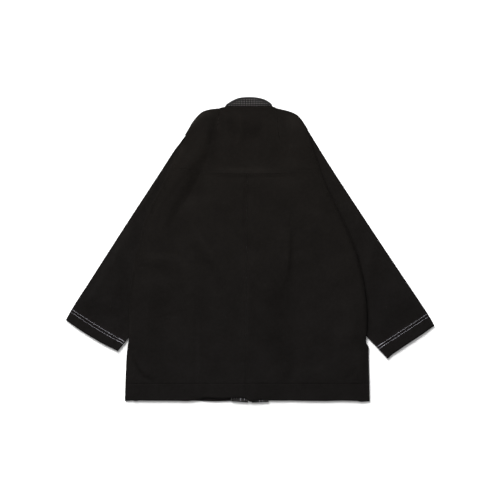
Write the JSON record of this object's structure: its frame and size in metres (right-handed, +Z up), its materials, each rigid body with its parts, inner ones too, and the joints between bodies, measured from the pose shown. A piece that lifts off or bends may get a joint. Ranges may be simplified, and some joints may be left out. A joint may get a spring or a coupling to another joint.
{
  "type": "jiu-jitsu gi jacket",
  "caption": "Jiu-jitsu gi jacket laid out flat on its front, back up: yoke, split back, wide sleeves, stitched cuffs and a stiff collar band.",
  "frame": {"origin": "on the surface that the jacket lies on, at the middle of its bounding box", "axes": "+Z up from that surface, +Y towards the neck, +X to the right of someone who looks down at the back"},
  "size_m": [1.0098, 0.841, 0.0134],
  "materials": {
    "pearl_weave": "matt black woven cotton",
    "collar_cloth": "matt black cotton with a small pale stitched grid"
  },
  "bodies": {
    "root": {"yoke": "pearl_weave", "back_left": "pearl_weave", "back_right": "pearl_weave", "front_left": "pearl_weave", "front_right": "pearl_weave", "sleeve_left": "pearl_weave", "sleeve_right": "pearl_weave", "collar": "collar_cloth"}
  },
  "joints": []
}
